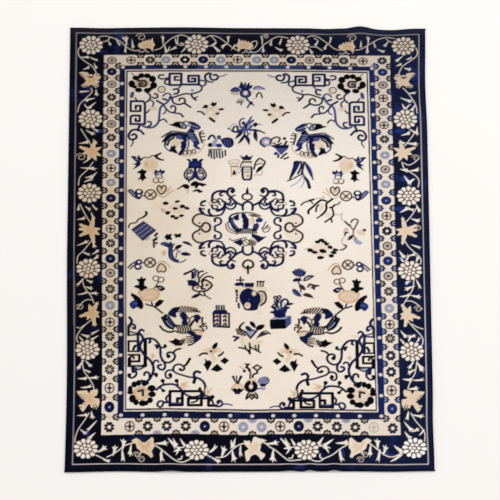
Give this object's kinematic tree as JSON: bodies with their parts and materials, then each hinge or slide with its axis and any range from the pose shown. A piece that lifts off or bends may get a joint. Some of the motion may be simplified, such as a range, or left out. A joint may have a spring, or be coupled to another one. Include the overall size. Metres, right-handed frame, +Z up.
{
  "type": "wool rug",
  "caption": "Hand-knotted wool rug lying flat, with slightly wavy ends, sides that draw in a little, and an overcast wool binding along each edge.",
  "frame": {"origin": "on the floor, under the middle of the rug's outline", "axes": "+Z up from the floor, +Y along the rug's length towards its far end, +X across the rug to the right as it is seen from its near end"},
  "size_m": [1.83, 2.7556, 0.0197],
  "materials": {
    "knotted_wool": "sheared wool pile with a soft lustre, ivory ground with indigo, tan and dark brown knots, lightly worn",
    "overcast_wool": "matte overcast wool yarn, near black"
  },
  "bodies": {
    "root": {"knotted_fabric": "knotted_wool", "bound_side_left": "overcast_wool", "bound_side_right": "overcast_wool", "bound_end_near": "overcast_wool", "bound_end_far": "overcast_wool"}
  },
  "joints": []
}
